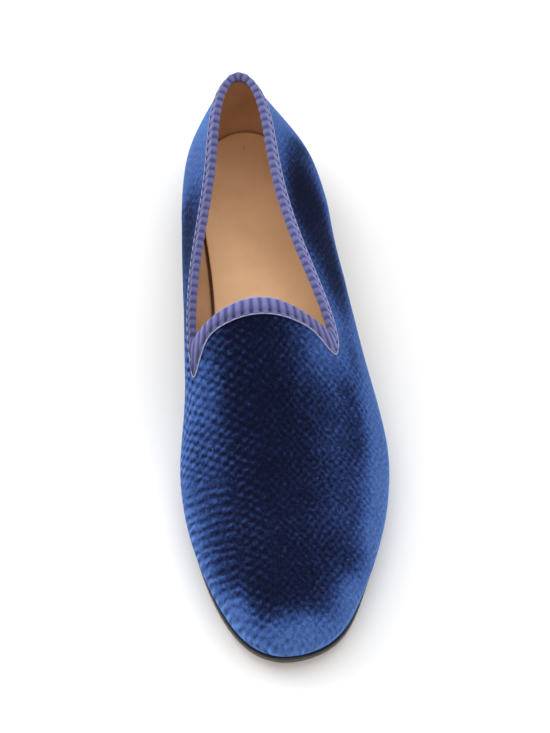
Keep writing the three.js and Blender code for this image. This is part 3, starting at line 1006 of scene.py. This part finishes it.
@dataclass(frozen=True)
class Rubber(Finish):
    """Matt black rubber."""

    colour: Colour = (0.018, 0.018, 0.019)
    dust: Colour = (0.2, 0.19, 0.17)
    dust_cover: float = 0.3
    grain_size: float = 0.7
    grain_depth: float = 0.1

    def make(self) -> Material:
        """Builds the material."""
        board, shader, material = self.start("Matt rubber", Roughness=0.75, Specular_IOR_Level=0.3)
        place = self.body(board)
        grain = self.effects.place(board, Effect.GRAIN, place, self.grain_size, 1.6)
        dust = self.effects.place(board, Effect.SPECKS, place, 5.0, 0.35)
        colour = board.ramp(grain, ((0.2, darker(self.colour, 0.6)), (0.8, self.colour)))
        colour = board.blend(board.math("MULTIPLY", dust, self.dust_cover), colour, (*self.dust, 1))
        board.feed(shader, "Base Color", colour)
        self.relief(board, shader, grain, self.grain_depth)
        return material


@dataclass(frozen=True)
class Crease:
    """A soft trough or ridge across the velvet, along an arc seen from above."""

    start: tuple[float, float]
    middle: tuple[float, float]
    end: tuple[float, float]
    width: float
    height: float

    def at(self, points: Array) -> Array:
        """How far the crease lifts each point, in millimetres."""
        steps = np.linspace(0, 1, 33)[:, None]
        a, b, c = (np.array(p, float) for p in (self.start, self.middle, self.end))
        line = a * (1 - steps) ** 2 + 2 * b * steps * (1 - steps) + c * steps**2
        flat = points[..., :2].reshape(-1, 1, 2)
        away = np.linalg.norm(flat - line[None], axis=-1)
        nearest = away.argmin(1)
        fade = np.sin(np.pi * nearest / (len(line) - 1)) ** 0.6
        lift = self.height * np.exp(-((away.min(1) / self.width) ** 2)) * fade
        return lift.reshape(points.shape[:-1])


@dataclass(frozen=True)
class Fade:
    """A soft change from 0 to 1 between two places."""

    start: float
    end: float

    def at(self, place: Array) -> Array:
        """How far the change has come at each place."""
        return smooth((place - self.start) / (self.end - self.start))


@dataclass(frozen=True)
class Patch:
    """A soft patch where the velvet's sheen is painted lighter or darker, seen from above."""

    x: float
    y: float
    half_width: float
    half_length: float
    painted_sheen: float

    def at(self, x: Array, y: Array) -> Array:
        """How much painted sheen the patch adds at each place, under zero where it paints shade."""
        away = ((x - self.x) / self.half_width) ** 2 + ((y - self.y) / self.half_length) ** 2
        return self.painted_sheen * np.exp(-away)


@dataclass
class Upper:
    """The velvet shell and the leather that lines it."""

    bench: Bench
    velvet: Material
    leather: Material
    around: int = 560
    rows: int = 84
    foot_rows: tuple[float, ...] = (0, 0.15, 0.4, 0.7)
    inside_every: int = 6
    skin: float = 0.9
    foot_round: float = 1.0
    creases_over: float = 4
    steep: Fade = Fade(0.9, 0.05)
    fore: Fade = Fade(16, 4)
    inner: Fade = Fade(4, -22)
    joined_ahead: Fade = Fade(-50, -72)
    joined_inward: Fade = Fade(-20, -32)
    joined_most: float = 0.7
    shown_least: float = 0.24
    shown_most: float = 1.3
    seam_depth: float = 0.45
    seam_width: float = 1.3
    lining_around: int = 280
    lining_rows: int = 30
    lining_gap: float = 0.06
    creases: tuple[Crease, ...] = (
        Crease((-30, -22), (2, -42), (36, -20), 5.0, -0.35),
        Crease((-36, -34), (2, -54), (44, -34), 4.5, -0.25),
        Crease((-38, -46), (0, -60), (46, -50), 4.0, 0.2),
        Crease((-38, -78), (0, -106), (40, -84), 6.0, 0.3),
        Crease((31, -2), (40, -14), (44, -34), 5.0, 0.5),
        Crease((-27, -6), (-34, -20), (-38, -40), 5.0, 0.4),
        Crease((14, -112), (24, -104), (30, -90), 3.5, 0.35),
        Crease((38, 44), (41, 62), (38, 84), 9.0, -0.5),
        Crease((-31, 40), (-35, 62), (-34, 84), 9.0, -0.4),
    )
    # Patches of painted sheen: above zero paints the velvet lighter, under zero paints it in shade, region by
    # region
    patches: tuple[Patch, ...] = (
        Patch(0, -140, 30, 11, 0.36),
        Patch(28, -123, 10, 10, 0.3),
        Patch(-30, -128, 8, 10, 0.3),
        Patch(38, -92, 5, 9, 0.2),
        Patch(45, -66, 7, 32, 0.26),
        Patch(38, -48, 7, 12, -0.08),
        Patch(-37, -18, 9, 26, 0.22),
        Patch(-48, 20, 11, 50, -0.66),
        Patch(-42, 74, 16, 38, -0.5),
        Patch(-22, 112, 8, 14, 0.24),
        Patch(20, -8, 16, 16, 0.15),
        Patch(27, 8, 6, 14, 0.12),
        Patch(38, -10, 6, 20, -0.2),
        Patch(35, 32, 9, 34, -0.36),
        Patch(25, 74, 16, 50, -0.4),
        Patch(17, 88, 8, 26, -0.18),
        Patch(32, 108, 9, 14, -0.15),
        Patch(22, 115, 9, 9, -0.3),
    )

    def grid(self) -> tuple[Array, Array]:
        """Angles and heights of the velvet's points."""
        angle = self.bench.last.angles(self.around)[:, None]
        first = np.array(self.foot_rows) / self.rows
        heights = np.concatenate([first, np.arange(1, self.rows + 1) / self.rows])
        return np.broadcast_arrays(angle, heights[None, :])

    def relief(self, points: Array) -> Array:
        """How far creases, the back seam and small unevenness lift the velvet, in millimetres."""
        last = self.bench.last
        lift = sum(crease.at(points) for crease in self.creases)
        x, y, z = points[..., 0], points[..., 1], points[..., 2]
        behind = smooth((y - 0.46 * last.length) / 6)
        off_seam = x - last.column("ridge", np.zeros(1))[0]
        seam = -self.seam_depth * np.exp(-((off_seam / self.seam_width) ** 2)) * behind
        uneven = 0.07 * np.sin(x / 5.3 + 0.7) * np.sin(y / 6.1) + 0.06 * np.sin(y / 9.7 + z / 7.0 + 1.3)
        return lift + seam + uneven

    def build(self) -> list[Shape]:
        """Builds the velvet and its lining."""
        last, cloth = self.bench.last, Cloth(self.bench.last)
        angle, height = self.grid()
        outer = last.upper(angle, height)
        normal = last.normal(angle, height)
        tall = outer[..., 2] - outer[:, :1, 2]
        near_foot = np.clip(self.foot_round - tall, 0, self.foot_round)
        tuck = self.foot_round - np.sqrt(self.foot_round**2 - near_foot**2)
        lift = self.relief(outer) * smooth(tall / self.creases_over)
        shell = outer + normal * (lift - tuck)[..., None]

        def there_and_back(values: Array, back: Array) -> Array:
            """Values up the outside, then fewer of them down the inside."""
            return np.concatenate([values, back[:, :: self.inside_every][:, ::-1]], 1)

        loops = there_and_back(shell, outer - normal * self.skin)
        faces, columns, rows = sweep(*loops.shape[:2])
        flat = cloth.chart(*last.place(angle, height))
        flat = np.pad(there_and_back(flat, flat), ((0, 1), (0, 1), (0, 0)), "edge")
        marks = {key: there_and_back(mark, mark) for key, mark in self.marks(outer, normal).items()}
        shape = self.bench.piece(
            "velvet_upper", loops, faces, self.velvet, Slot.UPPER, flat[columns, rows], marks, ("upper",)
        )
        return [shape, self.lining()]

    def marks(self, outer: Array, normal: Array) -> dict[str, Array]:
        """Where the sheen is painted lighter or darker, and where the pile's dashes stand out, lie broad or
        join into rows.

        Args:
            outer: the velvet's points.
            normal: its normals.

        Returns:
            A value at each point for each mark, from the look of the pile.
        """
        x, y, _ = np.moveaxis(outer + self.bench.last.shift, -1, 0)
        steep, inner = self.steep.at(normal[..., 2]), self.inner.at(x)
        standing = 0.14 * steep + inner * np.clip(1.4 * steep + 0.2, 0, 1.1)
        shown = np.clip(self.shown_least + self.fore.at(y) * standing, 0, self.shown_most)
        joined = self.joined_most * self.joined_ahead.at(y) * self.joined_inward.at(x)
        # Painted light and shade of the sheen, summed patch by patch
        painted_sheen = sum(patch.at(x, y) for patch in self.patches)
        return {"painted_sheen": painted_sheen, "shown": shown, "inner": inner, "joined": joined}

    def lining(self) -> Shape:
        """The leather lining, between the velvet and the foot."""
        last = self.bench.last
        angle = last.angles(self.lining_around)[:, None]
        height = np.arange(self.lining_rows + 1)[None, :] / self.lining_rows
        angle, height = np.broadcast_arrays(angle, height)
        outer, normal = last.upper(angle, height), last.normal(angle, height)
        outside = outer - normal * (self.skin + self.lining_gap)
        loops = np.concatenate([outside, (outer - normal * last.wall)[:, ::-1]], 1)
        faces, _, _ = sweep(*loops.shape[:2])
        return self.bench.piece("upper_lining", loops, faces, self.leather, Slot.UPPER)


@dataclass
class Binding:
    """The ribbon folded over the topline, the thin cord along its edge and the stitches that hold it."""

    bench: Bench
    ribbon: Material
    cord: Material
    thread: Material
    rib: float = 4.15
    rib_depth: float = 0.16
    per_rib: int = 12
    seam_share: float = 0.78
    seam_width: float = 0.1
    cord_radius: float = 0.34
    cord_share: float = 1.02
    cord_steps: int = 1200
    cord_sides: int = 10
    cord_twist: float = 1.1
    cord_swell: float = 0.1
    stitch_in: float = 1.5
    stitch_length: float = 1.5
    stitch_radius: float = 0.2
    stitch_rise: float = 0.12
    stitch_depth: float = 0.78
    stitch_sides: int = 6
    stitch_room: int = 10
    # Painted light and shade along the ribbon, from the heel (0) past the corner (1) to the throat (2):
    # lighter on the fold over the throat and down the outer corner, darker down the inner side
    outer_fold_shade: Shades = ((0, 1.05), (0.5, 1.05), (1, 1.1), (1.5, 1.15), (2, 1.95))
    outer_edge_shade: Shades = ((0, 1), (0.5, 1.3), (1, 1.7), (1.4, 0.9), (2, 1.0))
    inner_fold_shade: Shades = ((0, 1.05), (0.3, 1), (0.7, 1), (1, 0.95), (1.5, 1.5), (2, 1.95))
    inner_edge_shade: Shades = ((0, 1), (0.3, 0.95), (0.7, 0.62), (1, 0.52), (1.4, 0.42), (2, 1.0))

    def even_angles(self, count: int) -> tuple[Array, float]:
        """Angles at even lengths along the topline.

        Args:
            count: how many.

        Returns:
            The angles and the topline's whole length.
        """
        last = self.bench.last
        fine = np.linspace(0, 2 * np.pi, 4001)
        safe = np.clip(fine, 1e-6, 2 * np.pi - 1e-6)
        line = last.upper(safe, np.ones(len(safe)))
        run = np.concatenate([[0], np.cumsum(np.linalg.norm(np.diff(line, axis=0), axis=-1))])
        return np.interp((np.arange(count) + 0.5) / count * run[-1], run, safe), run[-1]

    def wall(self, angle: Array, share: float, out: float | Array) -> Array:
        """Points at a share of the ribbon's reach below the topline, off the wall by some millimetres."""
        last = self.bench.last
        height = last.height_below(angle, share * last.tape_reach(angle))
        return last.upper(angle, height) + last.normal(angle, height) * np.asarray(out)[..., None]

    def build(self) -> list[Shape]:
        """Builds the ribbon, its cord and its stitches."""
        last = self.bench.last
        _, length = self.even_angles(1)
        ribs = round(length / self.rib)
        angle, _ = self.even_angles(ribs * self.per_rib)
        phase = 2 * np.pi * (np.arange(len(angle)) + 0.5) / self.per_rib
        near, far = last.gap, last.gap + last.tape_thickness
        lift = self.rib_depth * np.cos(phase)
        top = last.upper(angle, np.ones(len(angle)))
        normal = last.normal(angle, np.ones(len(angle)))
        over = unit(top - self.wall(angle, 0.5, 0))
        rows, across = [], []

        def leg(shares: tuple[float, ...], out: float, ribbed: float, sign: int) -> None:
            """Adds rows of one leg, drawn in along the seam."""
            for share in shares:
                seam = 1 - 0.5 * math.exp(-(((share - self.seam_share) / self.seam_width) ** 2))
                rows.append(self.wall(angle, share, sign * (out * seam + ribbed * lift)))
                across.append(sign * share)

        leg((1.0, 0.93, 0.86, 0.78, 0.7, 0.6, 0.45, 0.3, 0.15), far, 1.0, 1)
        for turn in np.linspace(0.04, 0.96, 11):
            side = (last.wall / 2 + far + lift) * math.cos(math.pi * turn) - last.wall / 2
            rise = (far + lift) * math.sin(math.pi * turn)
            rows.append(top + normal * side[:, None] + over * rise[:, None])
            across.append(0.15 * math.cos(math.pi * turn))
        leg((0.15, 0.3, 0.5, 0.7, 0.86, 1.0), last.wall + far, 1.0, -1)
        leg((1.0, 0.5), last.wall + near, 0.0, -1)
        for side in (-last.wall - near, near):
            rows.append(top + normal * side + over * near)
            across.append(0)
        leg((0.5, 1.0), near, 0.0, 1)
        loops = np.stack(rows, 1)
        faces, columns, numbers = sweep(*loops.shape[:2])
        along = np.arange(len(angle) + 1) * (length / len(angle))
        reach = np.array([*across, across[0]]) * last.tape_throat_reach
        chart = np.stack([along[columns], reach[numbers]], -1)
        crest_light = np.broadcast_to((0.5 + 0.5 * np.cos(phase))[:, None], loops.shape[:2])
        marks = {"crest_light": crest_light, "shade": self.shade(angle, np.array(across))}
        ribbon = self.bench.piece(
            "ribbon_binding", loops, faces, self.ribbon, Slot.BINDING, chart, marks, ("binding",)
        )
        return [ribbon, self.edge_cord(), self.stitches(length)]

    def shade(self, angle: Array, across: Array) -> Array:
        """Painted light and shade on the ribbon at each place, listed for both sides.

        Args:
            angle: angles round the shoe.
            across: share of the reach of each row, under zero inside the shoe.

        Returns:
            A factor of painted light and shade for each angle and row.
        """
        last = self.bench.last
        past = last.from_corner(angle)
        corner = np.where(angle <= np.pi, *last.corner_angles)
        way = np.where(past < 0, 1 + past / corner, 1 + past / (np.pi - corner))

        def at(outer: Shades, inner: Shades) -> Array:
            """The shade at every angle, from those of both sides."""
            return np.where(angle <= np.pi, np.interp(way, *zip(*outer)), np.interp(way, *zip(*inner)))

        fold, edge = at(self.outer_fold_shade, self.inner_fold_shade), at(self.outer_edge_shade, self.inner_edge_shade)
        down = np.clip(across, 0, 1) ** 0.8
        return fold[:, None] + (edge - fold)[:, None] * down[None, :]

    def edge_cord(self) -> Shape:
        """The thin twisted cord that borders the ribbon's lower edge."""
        angle, length = self.even_angles(self.cord_steps)
        centre = self.wall(angle, self.cord_share, self.bench.last.gap + self.cord_radius)
        along = unit(np.roll(centre, -1, 0) - np.roll(centre, 1, 0))
        side = unit(np.cross(along, np.array([0, 0, 1.0])))
        up = np.cross(side, along)
        turns = (2 * np.pi * np.arange(self.cord_sides) / self.cord_sides)[None, :, None]
        ring = side[:, None] * np.cos(turns) + up[:, None] * np.sin(turns)
        swells = 2 * np.pi * np.arange(len(centre)) / len(centre) * round(length / self.cord_twist)
        radius = self.cord_radius * (1 + self.cord_swell * np.cos(swells))
        loops = centre[:, None] + ring * radius[:, None, None]
        faces, _, _ = sweep(*loops.shape[:2])
        return self.bench.piece("binding_cord", loops, faces, self.cord, Slot.BINDING)

    def stitches(self, length: float) -> Shape:
        """The row of short stitches just above the cord.

        Args:
            length: the topline's length.

        Returns:
            The stitches as one piece.
        """
        last = self.bench.last
        count = round(length / self.rib)
        fine, _ = self.even_angles(count * self.stitch_room)
        height = last.height_below(fine, last.tape_reach(fine) - self.stitch_in)
        normal = last.normal(fine, height)
        line = last.upper(fine, height) + normal * (last.gap + last.tape_thickness * self.stitch_depth)
        middle = np.arange(count) * self.stitch_room + self.stitch_room // 2
        along = unit(line[(middle + 2) % len(fine)] - line[middle - 2])[:, None]
        up = normal[middle][:, None]
        side = np.cross(along, up)
        place = np.linspace(-1, 1, 5)[None, :, None]
        swell = self.stitch_radius * np.sqrt(1 - (place * 0.97) ** 2)
        turns = (2 * np.pi * np.arange(self.stitch_sides) / self.stitch_sides)[None, None, :, None]
        arm = side[:, :, None] * np.cos(turns) + up[:, :, None] * np.sin(turns)
        spine = line[middle][:, None] + along * place * self.stitch_length / 2
        spine = spine + up * self.stitch_rise * (1 - place**2)
        points = spine[:, :, None] + arm * swell[:, :, None]
        faces = self.stitch_faces(points.shape[1])
        each = np.arange(count)[:, None, None] * points.shape[1] * self.stitch_sides
        return self.bench.piece(
            "binding_stitches", points, (faces + each).reshape(-1, 4), self.thread, Slot.BINDING
        )

    def stitch_faces(self, rings: int) -> Array:
        """Quads of one stitch of some rings, with both ends closed."""
        sides = self.stitch_sides
        ring, k = np.meshgrid(np.arange(rings - 1) * sides, np.arange(sides), indexing="ij")
        m = (k + 1) % sides
        wall = np.stack([ring + k, ring + m, ring + sides + m, ring + sides + k], -1).reshape(-1, 4)
        end = (rings - 1) * sides
        caps = np.array([[3, 2, 1, 0], [5, 4, 3, 0]])
        return np.concatenate([wall, caps, end + np.array([[0, 1, 2, 3], [0, 3, 4, 5]])])


@dataclass
class Inside:
    """The leather sock on its insole board."""

    bench: Bench
    leather: Material
    around: int = 360
    thickness: float = 2.6
    clearance: float = 0.8
    profile: tuple[tuple[float, float], ...] = (
        (12, 0.6), (9, 0.54), (6, 0.36), (3, 0.132), (1.2, 0.018),
        (0.5, 0), (0.12, 0.18), (0, 0.5), (0, 2.55),
    )

    def build(self) -> list[Shape]:
        """Builds the sock from rings that lie inward of its edge and below its top."""
        last = self.bench.last
        angle = last.angles(self.around)
        edge = -last.wall - self.clearance
        points = np.stack([
            last.ring(angle, edge - inward, lambda s, d=drop: last.bottom(s) + self.thickness - d)
            for inward, drop in self.profile
        ])
        faces = plate(*points.shape[:2])
        return [self.bench.piece(
            "leather_sock", points, faces, self.leather, Slot.INSOLE, stands_for=("insole",)
        )]


@dataclass
class Bottom:
    """The outsole, the stacked heel and its top piece."""

    bench: Bench
    sole: Material
    stack: Material
    rubber: Material
    around: int = 480
    inset: float = 0.6
    breast_hollow: float = 3
    core: float = 0.7
    lifts: int = 3

    def build(self) -> list[Shape]:
        """Builds the outsole and the heel."""
        last = self.bench.last
        seat = last.top_piece + last.gap
        lifts = self.slab(
            "heel_lifts", self.inset, seat, last.heel_stack, self.lifts, self.stack, Slot.HEEL_STACK
        )
        top = self.slab("heel_top", 2 * self.inset, 0, last.top_piece, 1, self.rubber, Slot.TOP_PIECE)
        return [self.outsole(), lifts, top]

    def outsole(self) -> Shape:
        """The sole, with a soft edge all round and a channel on its underside."""
        last = self.bench.last
        angle = last.angles(self.around)
        out, thick = last.sole_margin, last.sole_thickness
        # Rings by how far out and how high they lie, how far dressed in black, and how far that is worn
        profile = (
            (out - 9, thick, 0, 0), (out - 1.2, thick, 1, 0), (out - 0.35, thick - 0.02, 1, 0.15),
            (out - 0.1, thick - 0.12, 1, 0.1), (out, thick - 0.3, 1, 0), (out, thick - 0.9, 1, 0),
            (out, thick * 0.5, 1, 0), (out, 0.75, 1, 0), (out - 0.18, 0.3, 1, 0.3),
            (out - 0.55, 0.03, 1, 0.5), (out - 0.8, 0, 0.4, 0), (out - 5.2, 0, 0, 0),
            (out - 5.6, 0.16, 0, 0), (out - 6.0, 0, 0, 0), (out - 10, 0, 0, 0),
        )
        outs, highs, dressed, worn = zip(*profile)
        points = np.stack([
            last.ring(angle, spread, lambda s, h=high: last.underside(s) + h)
            for spread, high in zip(outs, highs)
        ])
        marks = {"dressed": np.repeat(dressed, self.around), "worn": np.repeat(worn, self.around)}
        return self.bench.piece(
            "leather_outsole", points, plate(*points.shape[:2]), self.sole, Slot.OUTSOLE,
            marks=marks, stands_for=("outsole",),
        )

    def heel_outline(self, inset: float) -> Array:
        """The heel seen from above: round behind and hollow along its breast."""
        last = self.bench.last
        breast = np.pi * turn_at(last.heel_length / last.length)
        angle = breast * np.linspace(1, -1, 120)
        rim = last.outline(np.where(angle > 0, angle, 2 * np.pi + angle), last.sole_margin - inset)
        start, end = rim[-1], rim[0]
        hollow = (start + end) / 2 + np.array([0, 2 * self.breast_hollow])
        steps = np.linspace(0, 1, 42)[1:-1, None]
        front = start * (1 - steps) ** 2 + 2 * hollow * steps * (1 - steps) + end * steps**2
        return np.concatenate([rim, front])

    def slab(
        self, name: str, inset: float, low: float, tall: float, layers: int, finish: Material, slot: Slot
    ) -> Shape:
        """A heel block of one or more layers.

        Args:
            name: the piece's name.
            inset: how far it lies inside the sole's edge.
            low: height of its underside.
            tall: its height.
            layers: how many lifts it is built from.
            finish: its material.
            slot: the record's slot.

        Returns:
            The piece.
        """
        base = self.heel_outline(inset)
        ahead = unit(np.roll(base, -1, 0) - np.roll(base, 1, 0))
        inward = np.stack([-ahead[:, 1], ahead[:, 0]], -1)
        middle = base.mean(0)
        inward *= np.sign(((middle - base) * inward).sum(-1).mean())
        core = middle + (base - middle) * self.core
        profile = [(None, tall), (2.0, tall), (0.5, tall), (0.12, tall - 0.1), (0.0, tall - 0.45)]
        for layer in range(layers - 1, 0, -1):
            line = tall * layer / layers
            profile += [(0.0, line + 0.3), (0.14, line + 0.06), (0.14, line - 0.06), (0.0, line - 0.3)]
        profile += [(0.0, 0.5), (0.12, 0.12), (0.45, 0), (2.0, 0), (None, 0)]
        rings = []
        for spread, high in profile:
            ring = core if spread is None else base + inward * spread
            rings.append(np.pad(ring, ((0, 0), (0, 1)), constant_values=low + high))
        points = np.stack(rings)
        faces = plate(*points.shape[:2])[:, ::-1]
        worn = [0.0 if 0.05 < high < tall - 0.05 else 0.35 for _, high in profile]
        marks = {"dressed": np.ones(points.shape[:2]), "worn": np.repeat(worn, len(base))}
        return self.bench.piece(name, points, faces, finish, slot, marks=marks, stands_for=(slot.value,))


@dataclass
class Studio:
    """The white floor, soft light and the camera at the photograph's angle."""

    eye: Triple = (-64.2, -581.2, 1103.7)
    aim: Triple = (-1.0, -2.0, 30.0)
    roll: float = 1.85
    lens: float = 124.0
    floor_reach: float = 4.0
    floor_grey: float = 0.93
    room_light: float = 0.75

    def build(self) -> None:
        """Builds the studio."""
        self.floor()
        self.world()
        self.light("Ceiling light", (0, 0.3, 1.9), (0, 0, 0), size=2.4, watts=22)
        self.light("Window light", (-1.3, 0.9, 1.1), (0, 0, 0.03), size=1.2, watts=9)
        self.camera()
        scene = bpy.context.scene
        scene.view_settings.view_transform = "Standard"
        scene.view_settings.look = "None"

    def floor(self) -> None:
        """A plain white floor."""
        mesh = bpy.data.meshes.new("floor")
        far = self.floor_reach
        corners = [(-far, -far, 0), (far, -far, 0), (far, far, 0), (-far, far, 0)]
        mesh.from_pydata(corners, [], [(0, 1, 2, 3)])
        floor = bpy.data.objects.new("floor", mesh)
        material = bpy.data.materials.new("Floor paper")
        material.use_nodes = True
        shader = material.node_tree.nodes["Principled BSDF"]
        shader.inputs["Base Color"].default_value = (*[self.floor_grey] * 3, 1)
        shader.inputs["Roughness"].default_value = 0.8
        mesh.materials.append(material)
        bpy.context.scene.collection.objects.link(floor)

    def world(self) -> None:
        """A white room."""
        world = bpy.data.worlds.new("White room")
        bpy.context.scene.world = world
        world.use_nodes = True
        back = world.node_tree.nodes["Background"]
        back.inputs["Color"].default_value = (1, 1, 1, 1)
        back.inputs["Strength"].default_value = self.room_light

    def light(self, name: str, place: Triple, at: Triple, size: float, watts: float) -> None:
        """One soft panel light.

        Args:
            name: its name.
            place: where it hangs, in metres.
            at: what it points at.
            size: its side in metres.
            watts: its power.
        """
        data = bpy.data.lights.new(name, "AREA")
        data.size = size
        data.energy = watts
        lamp = bpy.data.objects.new(name, data)
        lamp.location = place
        lamp.rotation_euler = (Vector(at) - Vector(place)).to_track_quat("-Z", "Y").to_euler()
        bpy.context.scene.collection.objects.link(lamp)

    def camera(self) -> None:
        """The camera, where it stood for the photograph, turned to the one shoe."""
        data = bpy.data.cameras.new("Camera")
        data.lens = self.lens
        camera = bpy.data.objects.new("Camera", data)
        eye, aim = Vector(self.eye) * MM, Vector(self.aim) * MM
        look = (aim - eye).to_track_quat("-Z", "Y").to_matrix()
        camera.rotation_euler = (look @ Matrix.Rotation(math.radians(self.roll), 3, "Z")).to_euler()
        camera.location = eye
        data.clip_end = 20
        bpy.context.scene.collection.objects.link(camera)
        bpy.context.scene.camera = camera


def main() -> None:
    """Builds the slipper and its studio."""
    logging.basicConfig(level=logging.INFO, format="%(name)s %(message)s")
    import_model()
    last = Last()
    bench = Bench(last)
    effects = Effects()
    edge_cord = Thread(effects, name="Edge cord", colour=(0.42, 0.42, 0.62))
    stitching = Thread(effects, name="Dark thread", colour=(0.03, 0.03, 0.1))
    sock = Leather(effects, name="Sock leather", light=(0.93, 0.6, 0.33), dark=(0.8, 0.48, 0.245), gloss=0.45)
    sole = DressedEdge(effects)
    heel = DressedEdge(effects, name="Dressed heel leather")
    parts = (
        Upper(bench, Velvet(effects).make(), Leather(effects).make()),
        Binding(bench, Ribbon(effects).make(), edge_cord.make(), stitching.make()),
        Inside(bench, sock.make()),
        Bottom(bench, sole.make(), heel.make(), Rubber(effects).make()),
    )
    for part in parts:
        for piece in part.build():
            LOG.info("%s: %d faces", piece.name, len(piece.data.polygons))
    Studio().build()


if __name__ == "__main__":
    main()
